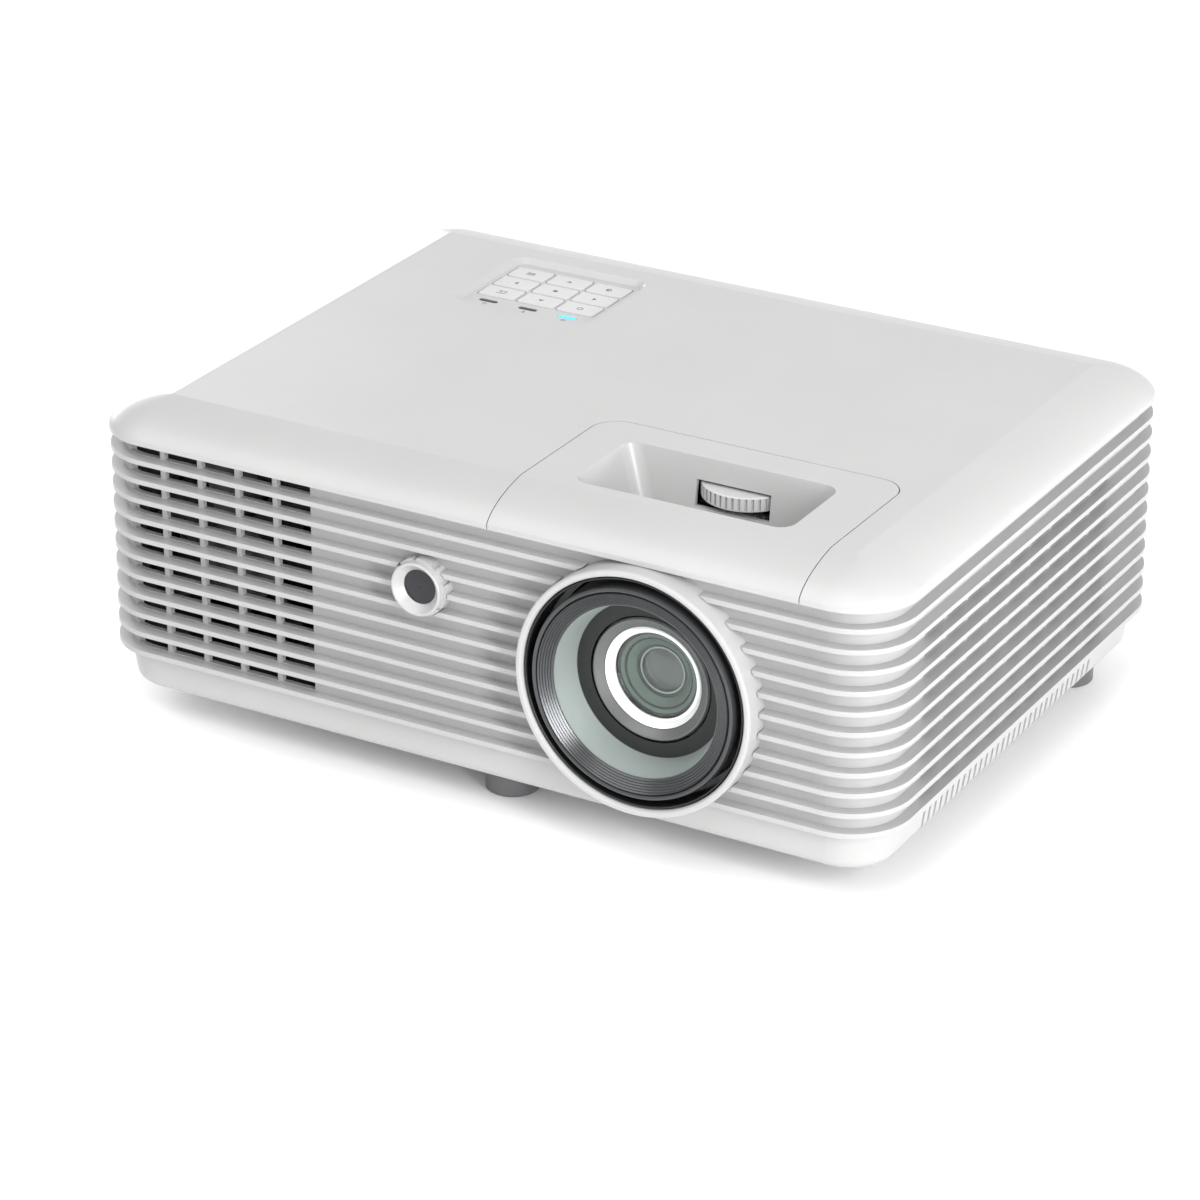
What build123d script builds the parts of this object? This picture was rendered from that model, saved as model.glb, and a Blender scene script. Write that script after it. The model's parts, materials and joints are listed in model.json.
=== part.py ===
from build123d import *
import os
from math import cos, sin, pi, radians, degrees

os.makedirs("parts", exist_ok=True)

# Frame: +X to the right seen from the front, front (lens side) towards -Y, +Z up, Z = 0 under the feet.

# ---- case ----
body_width = 313.0
body_depth = 231.8
body_mid_y = 3.05
corner_radius = 22.7
groove_depth = 4.3
case_wall = 2.2
fin_count = 11
fin_pitch = 7.42
fin_thickness = 1.85
rim_z = 111.0
front_y = body_mid_y - body_depth / 2
rear_y = body_mid_y + body_depth / 2
wall_front_y = front_y + groove_depth
wall_rear_y = rear_y - groove_depth
wall_half_x = body_width / 2 - groove_depth
wall_radius = corner_radius - groove_depth
inner_half_x = wall_half_x - case_wall
inner_front_y = wall_front_y + case_wall
inner_rear_y = wall_rear_y - case_wall
grille_bottom_z = rim_z - fin_count * fin_pitch
slot_height = 5.2
front_slot_width = 13.6
front_slot_pitch = 15.55
front_slot_count = 5
front_slot_start_x = -141.2
side_slot_width = 14.7
side_slot_pitch = 16.6
side_slot_count = 9
side_slot_start_y = -75.6
side_solid_rows = 2
rear_panel_half_x = 126.0
rear_fin_rows = (1, 2, 3, 10, 11)

# ---- top cover ----
cover_outset = 0.3
cover_height = 11.5
cover_lip = 1.8
cover_round_in = 22.6
cover_plate = 2.2
cover_ledge = 7.0
cover_top_z = rim_z + cover_height
cover_under_z = cover_top_z - cover_plate
seam_gap = 0.4

# ---- lens access panel and its finger pocket ----
panel_half_width = 58.3
panel_back_y = -33.0
panel_corner = 10.0
panel_flange = 2.6
panel_flange_thickness = 1.4
pocket_mid_x = 65.4
pocket_top_width = 82.0
pocket_top_front_y = -86.0
pocket_top_back_y = -46.8
pocket_bottom_width = 68.0
pocket_bottom_front_y = -80.0
pocket_bottom_back_y = -49.6
pocket_floor_z = 102.2
pocket_wall = 1.6
pocket_corner = 6.0
window_width = 28.6
window_low_z = 104.9
window_high_z = 114.5

# ---- zoom dial and its gear train ----
dial_y = -37.2
dial_radius = 16.3
dial_low_z = 108.0
dial_high_z = 113.4
dial_ribs = 44
dial_rib_depth = 0.9
shaft_radius = 1.5
running_gap = 0.05
pinion_teeth = 16
crown_teeth = 74
tooth_pitch = 3.014
tooth_height = 1.3
tooth_width = 1.2
pinion_tip_radius = 8.3
pinion_low_z = 99.8
pinion_high_z = 103.6

# ---- lens ----
lens_x = 66.2
lens_z = 66.2
bezel_front_y = front_y - 6.1
bezel_radius = 44.5
bezel_inner_radius = 41.9
bezel_sleeve_radius = 43.2
wall_hole_radius = 43.5
fin_hole_radius = 44.9
bezel_back_y = -102.6
focus_radius = 38.4
barrel_radius = 30.0
barrel_bore = 24.0
flange_radius = 40.0
flange_screw_radius = 35.5
barrel_front_y = -101.6
barrel_back_y = -10.0
cell_radius = barrel_bore - running_gap
cell_front_y = -105.5
cell_flange_radius = 22.4
cell_shoulder_y = -99.4
cell_back_y = -80.0
cell_inner_radius = 19.0
seat_front_y = -103.5
seat_back_y = -101.0
seat_radius = 18.5
glass_radius = 18.9
zoom_cell_front_y = -72.0
zoom_cell_back_y = -50.0

# ---- infrared receiver ----
ir_x = -19.1
ir_z = 83.6
ir_ring_radius = 9.7
ir_collar_radius = 10.5
ir_sleeve_radius = 8.3
ir_window_radius = 6.2
ir_front_y = front_y - 3.1

# ---- keypad ----
keypad_x = -70.1
keypad_y = 66.3
key_pitch_x = 16.8
key_pitch_y = 10.8
key_width = 15.6
key_depth = 9.6
key_gap = 0.35
recess_mid_x = -70.2
recess_mid_y = 62.9
recess_width = 57.6
recess_depth_y = 50.4
recess_drop = 1.9
recess_slope = 2.4
recess_floor_z = cover_top_z - recess_drop
recess_under_z = recess_floor_z - 1.8
key_top_z = recess_floor_z + 0.25
key_flange_z = recess_under_z - 0.2
key_stem_z = 116.1
board_thickness = 1.6
keypad_board_top_z = 114.6
indicator_y = 46.0
indicator_length = 7.2
indicator_width = 1.6

# ---- base ----
base_bottom_z = 14.0
base_draft = 8.0
base_wall = 2.4
base_floor_top_z = base_bottom_z + base_wall
base_edge_radius = 4.0
vent_count = 31
vent_pitch = 4.5
vent_width = 1.7
vent_start_y = -68.5
vent_low_z = 15.4
vent_high_z = 22.4
foot_radius = 9.7
foot_knob_height = 8.0
foot_rubber_height = 1.6
foot_rim_radius = 0.8
stud_head_radius = 4.5
stud_radius = 3.0
stud_top_z = 30.0
foot_boss_radius = 6.5
foot_boss_top_z = 28.0
foot_places = {
    "front_foot": (0.0, -84.0),
    "rear_right_foot": (132.3, 91.5),
    "rear_left_foot": (-132.3, 91.5),
}
ceiling_half_x = 75.0
ceiling_half_y = 60.0
ceiling_mid_y = 15.0
ceiling_boss_radius = 5.0
ceiling_boss_top_z = 22.0
ceiling_hole_radius = 2.0
screw_places = [(-135.0, -77.0), (135.0, -90.0), (-90.0, 100.0), (84.0, 100.0)]
screw_radius = 1.5
screw_head_radius = 2.8
screw_boss_radius = 4.0
screw_boss_top_z = 26.0

# ---- fans ----
exhaust_x = -100.0
exhaust_z = 70.0
exhaust_size = 80.0
exhaust_front_y = -104.5
exhaust_back_y = -84.5
intake_y = 53.0
intake_z = 65.0
intake_size = 70.0
intake_out_x = 146.0
intake_in_x = 131.0

# ---- boards ----
main_board_z = 44.0
main_board_left_x = -138.0
main_board_right_x = 16.0
main_board_front_y = 38.0
main_board_back_y = 111.0
power_board_z = 24.0
power_board_left_x = -146.0
power_board_right_x = -22.0
power_board_front_y = -68.0
power_board_back_y = 28.0
post_radius = 3.0
engine_post_radius = 4.0
main_board_posts = [
    (-132.0, 44.0),
    (-60.0, 44.0),
    (10.0, 44.0),
    (-112.0, 104.0),
    (-40.0, 104.0),
    (10.0, 104.0),
]
main_board_chips = [
    (-50.0, 66.0, 28.0, 28.0, 3.0),
    (-92.0, 66.0, 18.0, 18.0, 2.0),
    (-14.0, 62.0, 12.0, 20.0, 1.6),
    (-120.0, 60.0, 14.0, 9.0, 8.0),
]
capacitor_places = [
    (-130.0, -50.0, 9.0, 32.0),
    (-108.0, -50.0, 9.0, 32.0),
    (-40.0, 10.0, 6.0, 20.0),
    (-54.0, 10.0, 6.0, 20.0),
    (-68.0, 10.0, 5.0, 16.0),
]
power_board_posts = [(-140.0, -62.0), (-28.0, -62.0), (-140.0, 22.0), (-28.0, 22.0)]
engine_posts = [(32.0, -4.0), (104.0, -4.0), (32.0, 44.0), (104.0, 44.0)]
power_board_top_z = power_board_z + board_thickness
main_board_top_z = main_board_z + board_thickness

# ---- rear sockets ----
socket_face_y = wall_rear_y
audio_places = (-112.0, -97.0)
jack_z = main_board_top_z + 6.0
jack_barrel_radius = 3.9
jack_bore_radius = 1.8
hdmi_places = (-76.0, -52.0)
hdmi_z = main_board_top_z + 3.6
usb_x = -32.0
usb_z = main_board_top_z + 4.0
dsub_z = main_board_top_z + 7.0
vga_x = -5.0
serial_x = 62.0
dsub_flange_half_x = 15.4
dsub_flange_half_z = 6.2
dsub_nose_half_x = 8.6
dsub_nose_half_z = 4.2
dsub_screw_half_x = 12.5
pin_pitch = 2.4
pin_row_pitch = 2.2
pin_columns = 5
inlet_x = 104.0
inlet_z = 52.0
inlet_half_x = 13.5
inlet_half_z = 9.6
inlet_mouth_half_x = 12.0
inlet_mouth_half_z = 8.0
lock_slot_low_x = 24.0
lock_slot_high_x = 31.0
lock_slot_low_z = 50.5
lock_slot_high_z = 53.5

# ---- light engine ----
engine_left_x = 24.0
engine_right_x = 112.0
engine_back_y = 50.0
engine_low_z = 36.0
engine_high_z = 98.0
engine_wall = 3.0
engine_floor_z = engine_low_z + engine_wall
chip_board_thickness = 1.6
tunnel_x = 96.0
tunnel_z = 66.0
wheel_x = 80.0
wheel_z = 66.0
wheel_radius = 20.0
wheel_hub_radius = 6.0
light_left_x = 116.0
light_right_x = 144.0
light_low_z = 42.0
light_high_z = 90.0
light_mid_x = (light_left_x + light_right_x) / 2


def keep(solid, name):
    solid.label = name
    export_step(solid, "parts/" + name + ".step")


def block(x_low, x_high, y_low, y_high, z_low, z_high, mode=Mode.ADD):
    middle = ((x_low + x_high) / 2, (y_low + y_high) / 2, (z_low + z_high) / 2)
    with Locations(middle):
        Box(x_high - x_low, y_high - y_low, z_high - z_low, mode=mode)


def pillar(x, y, z_low, z_high, radius, mode=Mode.ADD):
    with Locations((x, y, (z_low + z_high) / 2)):
        Cylinder(radius, z_high - z_low, mode=mode)


def rod_y(x, z, y_low, y_high, radius, mode=Mode.ADD):
    with Locations(Location((x, (y_low + y_high) / 2, z), (90, 0, 0))):
        Cylinder(radius, y_high - y_low, mode=mode)


def rod_x(y, z, x_low, x_high, radius, mode=Mode.ADD):
    with Locations(Location(((x_low + x_high) / 2, y, z), (0, 90, 0))):
        Cylinder(radius, x_high - x_low, mode=mode)


def rounded_slab(width, depth, radius, z_low, z_high, mode=Mode.ADD, x=0.0, y=body_mid_y):
    with BuildSketch(Plane.XY.offset(z_low)) as plan:
        with Locations((x, y)):
            RectangleRounded(width, depth, radius)
    extrude(plan.sketch, amount=z_high - z_low, mode=mode)


def turned(profile, x, z, mode=Mode.ADD):
    """A body turned about the Y line through (x, z); profile points are (y, radius)."""
    with BuildSketch(Plane(origin=(x, 0, z), x_dir=(0, 1, 0), z_dir=(1, 0, 0))) as half_section:
        with BuildLine():
            Polyline(*profile, close=True)
        make_face()
    revolve(half_section.sketch, axis=Axis((x, 0, z), (0, 1, 0)), mode=mode)


def dome(width, depth, radius, base_z, profile, mode=Mode.ADD):
    """A rounded slab whose edge follows a soft curve; profile is (inset, height) control points."""
    with BuildSketch(Plane.XY.offset(base_z)) as outline:
        with Locations((0, body_mid_y)):
            RectangleRounded(width, depth, radius)
    path = outline.sketch.face().outer_wire()
    start = path.position_at(0)
    along = path.tangent_at(0)
    inward = Vector(0, 0, 1).cross(along)
    to_middle = Vector(0, body_mid_y, base_z) - start
    if inward.dot(to_middle) < 0:
        inward = inward * -1
    inset = profile[-1][0]
    height = profile[-1][1]
    edge_plane = Plane(origin=start, x_dir=inward, z_dir=inward.cross(Vector(0, 0, 1)))
    with BuildSketch(edge_plane) as edge:
        with BuildLine():
            Line((0, 0), profile[0])
            Bezier(*profile)
            Line(profile[-1], (inset, 0))
            Line((inset, 0), (0, 0))
        make_face()
    sweep(sections=edge.sketch, path=path, transition=Transition.RIGHT, mode=mode)
    overlap = 0.02
    rounded_slab(
        width - 2 * inset + overlap, depth - 2 * inset + overlap, radius - inset + overlap,
        base_z, base_z + height, mode,
    )


# ---------------------------------------------------------------- case
def outer_dome(base_z, mode=Mode.ADD):
    rise = [(0, cover_lip), (1.5, 4.7), (7.5, 9.2), (cover_round_in, cover_height)]
    dome(body_width + 2 * cover_outset, body_depth + 2 * cover_outset,
         corner_radius + cover_outset, base_z, rise, mode)


def inner_dome(base_z, mode=Mode.SUBTRACT):
    rise = [(0, 3.6), (3.0, 5.6), (8.0, 8.6), (cover_round_in - cover_ledge, cover_height - cover_plate)]
    dome(body_width + 2 * (cover_outset - cover_ledge), body_depth + 2 * (cover_outset - cover_ledge),
         corner_radius + cover_outset - cover_ledge, base_z, rise, mode)


def panel_outline(grow, z_low, z_high, mode):
    """The access panel's plan: straight sides to the front edge, rounded corners at the back."""
    half = panel_half_width + grow
    back = panel_back_y + grow
    front = front_y - 20
    with BuildSketch(Plane.XY.offset(z_low)) as plan:
        with Locations((lens_x, (back + front) / 2)):
            RectangleRounded(2 * half, back - front, panel_corner + grow)
    extrude(plan.sketch, amount=z_high - z_low, mode=mode)


def key_places():
    places = []
    for row in (1, 0, -1):
        for column in (-1, 0, 1):
            places.append((keypad_x + column * key_pitch_x, keypad_y + row * key_pitch_y))
    return places


def make_top_cover():
    with BuildPart() as top_cover:
        outer_dome(rim_z)
        inner_dome(rim_z)
        block(recess_mid_x - 30, recess_mid_x + 30, recess_mid_y - 26.5, recess_mid_y + 26.5,
              recess_under_z, cover_under_z)
        with BuildSketch(Plane.XY.offset(cover_top_z)):
            with Locations((recess_mid_x, recess_mid_y)):
                RectangleRounded(recess_width, recess_depth_y, 6.0)
        with BuildSketch(Plane.XY.offset(recess_floor_z)):
            with Locations((recess_mid_x, recess_mid_y)):
                RectangleRounded(recess_width - 2 * recess_slope, recess_depth_y - 2 * recess_slope, 4.0)
        loft(mode=Mode.SUBTRACT)
        with BuildSketch(Plane.XY.offset(recess_under_z - 1)):
            with Locations(*key_places()):
                RectangleRounded(key_width + 2 * key_gap, key_depth + 2 * key_gap, 1.6)
            with Locations(*[(keypad_x + step * key_pitch_x, indicator_y) for step in (-1, 0, 1)]):
                SlotOverall(indicator_length + 0.6, indicator_width + 0.6)
        extrude(amount=6, mode=Mode.SUBTRACT)
        for step_x in (-1, 1):
            for step_y in (-1, 1):
                pillar(recess_mid_x + step_x * 27.5, recess_mid_y + step_y * 24.0,
                       keypad_board_top_z, recess_under_z, 2.0)
        panel_outline(seam_gap, rim_z - 1, cover_top_z + 1, Mode.SUBTRACT)
    keep(top_cover.part, "top_cover")


def make_lens_access_panel():
    with BuildPart() as lens_access_panel:
        outer_dome(rim_z)
        inner_dome(rim_z)
        panel_outline(0.0, rim_z - 1, cover_top_z + 1, Mode.INTERSECT)
        with BuildSketch(Plane.XY.offset(cover_under_z - panel_flange_thickness)):
            with Locations((lens_x, (panel_back_y - 84) / 2)):
                RectangleRounded(2 * (panel_half_width + panel_flange), 84 + panel_back_y + 2 * panel_flange,
                                 panel_corner + panel_flange)
                RectangleRounded(2 * (panel_half_width - panel_flange), 84 + panel_back_y - 2 * panel_flange,
                                 panel_corner - panel_flange, mode=Mode.SUBTRACT)
        extrude(amount=panel_flange_thickness)
        pocket_form(pocket_wall, cover_top_z - 0.6, Mode.ADD)
        pocket_form(0.0, cover_top_z + 0.01, Mode.SUBTRACT)
        block(lens_x - window_width / 2, lens_x + window_width / 2, pocket_bottom_back_y - 3,
              pocket_top_back_y + 4, window_low_z, window_high_z, Mode.SUBTRACT)
        pillar(lens_x, dial_y, 114.0, cover_under_z, 4.0)
        pillar(lens_x, dial_y, 114.0, 118.5, shaft_radius + running_gap, Mode.SUBTRACT)
    keep(lens_access_panel.part, "lens_access_panel")


def pocket_form(grow, top_z, mode):
    top_mid_y = (pocket_top_front_y + pocket_top_back_y) / 2
    bottom_mid_y = (pocket_bottom_front_y + pocket_bottom_back_y) / 2
    with BuildSketch(Plane.XY.offset(top_z)) as mouth:
        with Locations((pocket_mid_x, top_mid_y)):
            RectangleRounded(pocket_top_width + 2 * grow,
                             pocket_top_back_y - pocket_top_front_y + 2 * grow, pocket_corner + grow)
    with BuildSketch(Plane.XY.offset(pocket_floor_z - grow)) as floor:
        with Locations((pocket_mid_x, bottom_mid_y)):
            RectangleRounded(pocket_bottom_width + 2 * grow,
                             pocket_bottom_back_y - pocket_bottom_front_y + 2 * grow, pocket_corner + grow)
    loft([mouth.sketch.face(), floor.sketch.face()], mode=mode)


def finned_ring(z_low, z_high):
    rounded_slab(body_width, body_depth, corner_radius, z_low, z_high)


def make_grille():
    with BuildPart() as case_grille:
        rounded_slab(2 * wall_half_x, body_depth - 2 * groove_depth, wall_radius, grille_bottom_z, rim_z)
        for row in range(1, fin_count + 1):
            fin_low_z = rim_z - row * fin_pitch
            finned_ring(fin_low_z, fin_low_z + fin_thickness)
        rounded_slab(2 * inner_half_x, body_depth - 2 * (groove_depth + case_wall), wall_radius - case_wall,
                     grille_bottom_z - 1, rim_z + 1, Mode.SUBTRACT)
        block(-rear_panel_half_x, rear_panel_half_x, inner_rear_y - 30, rear_y + 5,
              grille_bottom_z - 1, rim_z + 1, Mode.SUBTRACT)
        rod_y(lens_x, lens_z, front_y - 1, wall_front_y, fin_hole_radius, Mode.SUBTRACT)
        rod_y(lens_x, lens_z, wall_front_y - 1, inner_front_y + 1, wall_hole_radius, Mode.SUBTRACT)
        rod_y(ir_x, ir_z, front_y - 1, wall_front_y, ir_collar_radius + 0.3, Mode.SUBTRACT)
        rod_y(ir_x, ir_z, wall_front_y - 1, inner_front_y + 1, ir_sleeve_radius + 0.3, Mode.SUBTRACT)
        front_slots = []
        side_slots = []
        for row in range(fin_count):
            gap_mid_z = rim_z - row * fin_pitch - (fin_pitch - fin_thickness) / 2
            for column in range(front_slot_count):
                slot_x = front_slot_start_x + column * front_slot_pitch + front_slot_width / 2
                front_slots.append((slot_x, (wall_front_y + inner_front_y) / 2, gap_mid_z))
            if row >= side_solid_rows:
                for column in range(side_slot_count):
                    slot_y = side_slot_start_y + column * side_slot_pitch + side_slot_width / 2
                    side_slots.append(((wall_half_x + inner_half_x) / 2, slot_y, gap_mid_z))
        with Locations(*front_slots):
            Box(front_slot_width, 2 * case_wall, slot_height, mode=Mode.SUBTRACT)
        with Locations(*side_slots):
            Box(2 * case_wall, side_slot_width, slot_height, mode=Mode.SUBTRACT)
    keep(case_grille.part, "case_grille")


def make_rear_panel():
    half = rear_panel_half_x - 0.2
    with BuildPart() as rear_panel:
        block(-half, half, inner_rear_y, wall_rear_y, grille_bottom_z, rim_z)
        for row in rear_fin_rows:
            fin_low_z = rim_z - row * fin_pitch
            block(-half, half, wall_rear_y, rear_y, fin_low_z, fin_low_z + fin_thickness)
        for hole in rear_holes():
            block(hole[0] - hole[2] / 2, hole[0] + hole[2] / 2, inner_rear_y - 1, rear_y + 1,
                  hole[1] - hole[3] / 2, hole[1] + hole[3] / 2, Mode.SUBTRACT)
        for jack_x in audio_places:
            rod_y(jack_x, jack_z, inner_rear_y - 1, rear_y + 1, 4.3, Mode.SUBTRACT)
        block(lock_slot_low_x, lock_slot_high_x, inner_rear_y - 1, rear_y + 1,
              lock_slot_low_z, lock_slot_high_z, Mode.SUBTRACT)
    keep(rear_panel.part, "rear_panel")


def rear_holes():
    """Openings in the rear panel: (x, z, width, height)."""
    holes = [(x, hdmi_z, 16.6, 7.2) for x in hdmi_places]
    holes.append((usb_x, usb_z, 15.2, 8.0))
    holes.append((vga_x, dsub_z, 31.6, 13.2))
    holes.append((serial_x, dsub_z, 31.6, 13.2))
    holes.append((inlet_x, inlet_z, 27.6, 20.4))
    return holes


def make_base():
    with BuildPart() as base_pan:
        with BuildSketch(Plane.XY.offset(grille_bottom_z)):
            with Locations((0, body_mid_y)):
                RectangleRounded(2 * wall_half_x, body_depth - 2 * groove_depth, wall_radius)
        extrude(amount=-(grille_bottom_z - base_bottom_z), taper=base_draft)
        fillet(base_pan.faces().sort_by(Axis.Z)[0].edges(), base_edge_radius)
        with BuildSketch(Plane.XY.offset(grille_bottom_z)):
            with Locations((0, body_mid_y)):
                RectangleRounded(2 * (wall_half_x - base_wall), body_depth - 2 * (groove_depth + base_wall),
                                 wall_radius - base_wall)
        extrude(amount=-(grille_bottom_z - base_floor_top_z), taper=base_draft, mode=Mode.SUBTRACT)
        rod_y(lens_x, lens_z, wall_front_y - 1, inner_front_y + 3, wall_hole_radius, Mode.SUBTRACT)
        vents = []
        for step in range(vent_count):
            vents.append((151.0, vent_start_y + step * vent_pitch, (vent_low_z + vent_high_z) / 2))
        with Locations(*vents):
            Box(6.4, vent_width, vent_high_z - vent_low_z, mode=Mode.SUBTRACT)
        for place in foot_places.values():
            pillar(place[0], place[1], base_bottom_z + 0.5, foot_boss_top_z, foot_boss_radius)
            pillar(place[0], place[1], base_bottom_z - 1, foot_boss_top_z + 1,
                   stud_radius + running_gap, Mode.SUBTRACT)
        for x in (-ceiling_half_x, ceiling_half_x):
            for y in (ceiling_mid_y - ceiling_half_y, ceiling_mid_y + ceiling_half_y):
                pillar(x, y, base_bottom_z, ceiling_boss_top_z, ceiling_boss_radius)
                pillar(x, y, base_bottom_z - 1, ceiling_boss_top_z - 1.2, ceiling_hole_radius, Mode.SUBTRACT)
        for x, y in screw_places:
            pillar(x, y, base_bottom_z + 0.5, screw_boss_top_z, screw_boss_radius)
            pillar(x, y, base_bottom_z - 1, base_bottom_z + 1.6, screw_head_radius + 0.2, Mode.SUBTRACT)
            pillar(x, y, base_bottom_z, screw_boss_top_z - 2, screw_radius, Mode.SUBTRACT)
        for x in (-134.0, -100.0, -66.0):
            block(x - 1.5, x + 1.5, exhaust_front_y + 2.5, exhaust_back_y, base_floor_top_z - 0.2,
                  exhaust_z - exhaust_size / 2)
        for x, y in main_board_posts:
            pillar(x, y, base_floor_top_z - 0.2, main_board_z, post_radius)
        for x, y in power_board_posts:
            pillar(x, y, base_floor_top_z - 0.2, power_board_z, post_radius)
        for x, y in engine_posts:
            pillar(x, y, base_floor_top_z - 0.2, engine_low_z, engine_post_radius)
        for y in (24.0, 82.0):
            block(intake_in_x, intake_out_x, y - 2, y + 2,
                  base_floor_top_z - 0.2, intake_z - intake_size / 2)
        for y in (-66.0, -8.0):
            block(118.0, 142.0, y - 2, y + 2, base_floor_top_z - 0.2, 42.0)
        for x in (-45.0, -15.0):
            block(x - 2, x + 2, -98.0, -72.0, base_floor_top_z - 0.2, 32.0)
        block(inlet_x - 13, inlet_x + 13, 84.0, 88.0, base_floor_top_z - 0.2, inlet_z - inlet_half_z)
    keep(base_pan.part, "base_pan")


def make_foot(name, x, y):
    with BuildPart() as stud:
        pillar(x, y, foot_rubber_height, foot_knob_height, stud_head_radius)
        pillar(x, y, foot_knob_height, stud_top_z, stud_radius)
    keep(stud.part, name + "_stud")
    with BuildPart() as knob:
        pillar(x, y, 0, foot_knob_height, foot_radius)
        fillet(knob.edges().group_by(Axis.Z)[0], foot_rim_radius)
        fillet(knob.edges().group_by(Axis.Z)[-1], foot_rim_radius)
        pillar(x, y, foot_rubber_height, foot_knob_height + 1, stud_head_radius + running_gap, Mode.SUBTRACT)
    keep(knob.part, name + "_knob")


def make_screws():
    with BuildPart() as screws:
        for angle in (45, 135, 225, 315):
            x = lens_x + flange_screw_radius * cos(radians(angle))
            z = lens_z + flange_screw_radius * sin(radians(angle))
            rod_y(x, z, barrel_back_y - 6, barrel_back_y - 4, 3.0)
            rod_y(x, z, barrel_back_y - 4, barrel_back_y, 1.5)
        for x, y in screw_places:
            pillar(x, y, base_bottom_z + 0.2, base_bottom_z + 1.6, screw_head_radius)
            pillar(x, y, base_bottom_z + 1.6, screw_boss_top_z - 3, screw_radius)
            block(x - 1.8, x + 1.8, y - 0.4, y + 0.4, base_bottom_z, base_bottom_z + 0.8, Mode.SUBTRACT)
            block(x - 0.4, x + 0.4, y - 1.8, y + 1.8, base_bottom_z, base_bottom_z + 0.8, Mode.SUBTRACT)
    keep(screws.part, "screws")


# ---------------------------------------------------------------- lens
def make_lens_bezel():
    with BuildPart() as lens_bezel:
        turned([
            (bezel_front_y + 0.9, bezel_radius),
            (wall_front_y, bezel_radius),
            (wall_front_y, bezel_sleeve_radius),
            (bezel_back_y, bezel_sleeve_radius),
            (bezel_back_y, 39.2),
            (bezel_back_y - 1.6, 39.2),
            (bezel_back_y - 1.6, bezel_inner_radius - 0.4),
            (bezel_front_y + 1.0, bezel_inner_radius),
            (bezel_front_y + 0.3, bezel_inner_radius + 0.4),
            (bezel_front_y, bezel_inner_radius + 0.9),
            (bezel_front_y, bezel_radius - 0.7),
            (bezel_front_y + 0.3, bezel_radius - 0.25),
        ], lens_x, lens_z)
    keep(lens_bezel.part, "lens_bezel")


def make_focus_ring():
    lip_y = bezel_front_y + 0.25
    profile = [(lip_y + 1.2, focus_radius), (-92.0, focus_radius), (-92.0, focus_radius - 2.2),
               (-100.5, focus_radius - 2.2), (-100.5, 33.0), (-88.0, 33.0),
               (-88.0, barrel_radius + running_gap), (barrel_front_y - 0.4, barrel_radius + running_gap),
               (barrel_front_y - 0.4, 23.0), (-105.1, 23.0), (-105.1, 28.3)]
    ridge_count = 6
    ridge_out = 36.0
    ridge_in = 31.0
    ridge_front_y = -118.4
    ridge_back_y = -116.1
    profile.append((ridge_back_y, ridge_in))
    for step in range(ridge_count):
        share = (step + 0.5) / ridge_count
        low = (ridge_back_y + share * (ridge_front_y - ridge_back_y) + 0.25,
               ridge_in + share * (ridge_out - ridge_in))
        share = (step + 1.0) / ridge_count
        high = (ridge_back_y + share * (ridge_front_y - ridge_back_y) - 0.1,
                ridge_in + share * (ridge_out - ridge_in))
        profile.append(low)
        profile.append(high)
    profile.append((lip_y + 1.2, 36.3))
    profile.append((lip_y + 0.3, 36.7))
    profile.append((lip_y, 37.3))
    profile.append((lip_y + 0.3, 38.0))
    with BuildPart() as focus_ring:
        turned(profile, lens_x, lens_z)
    keep(focus_ring.part, "focus_ring")


def make_lens_barrel():
    with BuildPart() as lens_barrel:
        rod_y(lens_x, lens_z, barrel_front_y, barrel_back_y, barrel_radius)
        rod_y(lens_x, lens_z, barrel_back_y - 4, barrel_back_y, flange_radius)
        block(lens_x - 4.5, lens_x + 4.5, dial_y - 4.5, dial_y + 4.5, 92.0, 98.8)
        rod_y(lens_x, lens_z, barrel_front_y - 1, barrel_back_y + 1, barrel_bore, Mode.SUBTRACT)
        pillar(lens_x, dial_y, 96.3, 100.0, shaft_radius + running_gap, Mode.SUBTRACT)
        for angle in (45, 135, 225, 315):
            screw_x = lens_x + flange_screw_radius * cos(radians(angle))
            screw_z = lens_z + flange_screw_radius * sin(radians(angle))
            rod_y(screw_x, screw_z, barrel_back_y - 5, barrel_back_y + 1, 1.7, Mode.SUBTRACT)
    keep(lens_barrel.part, "lens_barrel")


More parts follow.
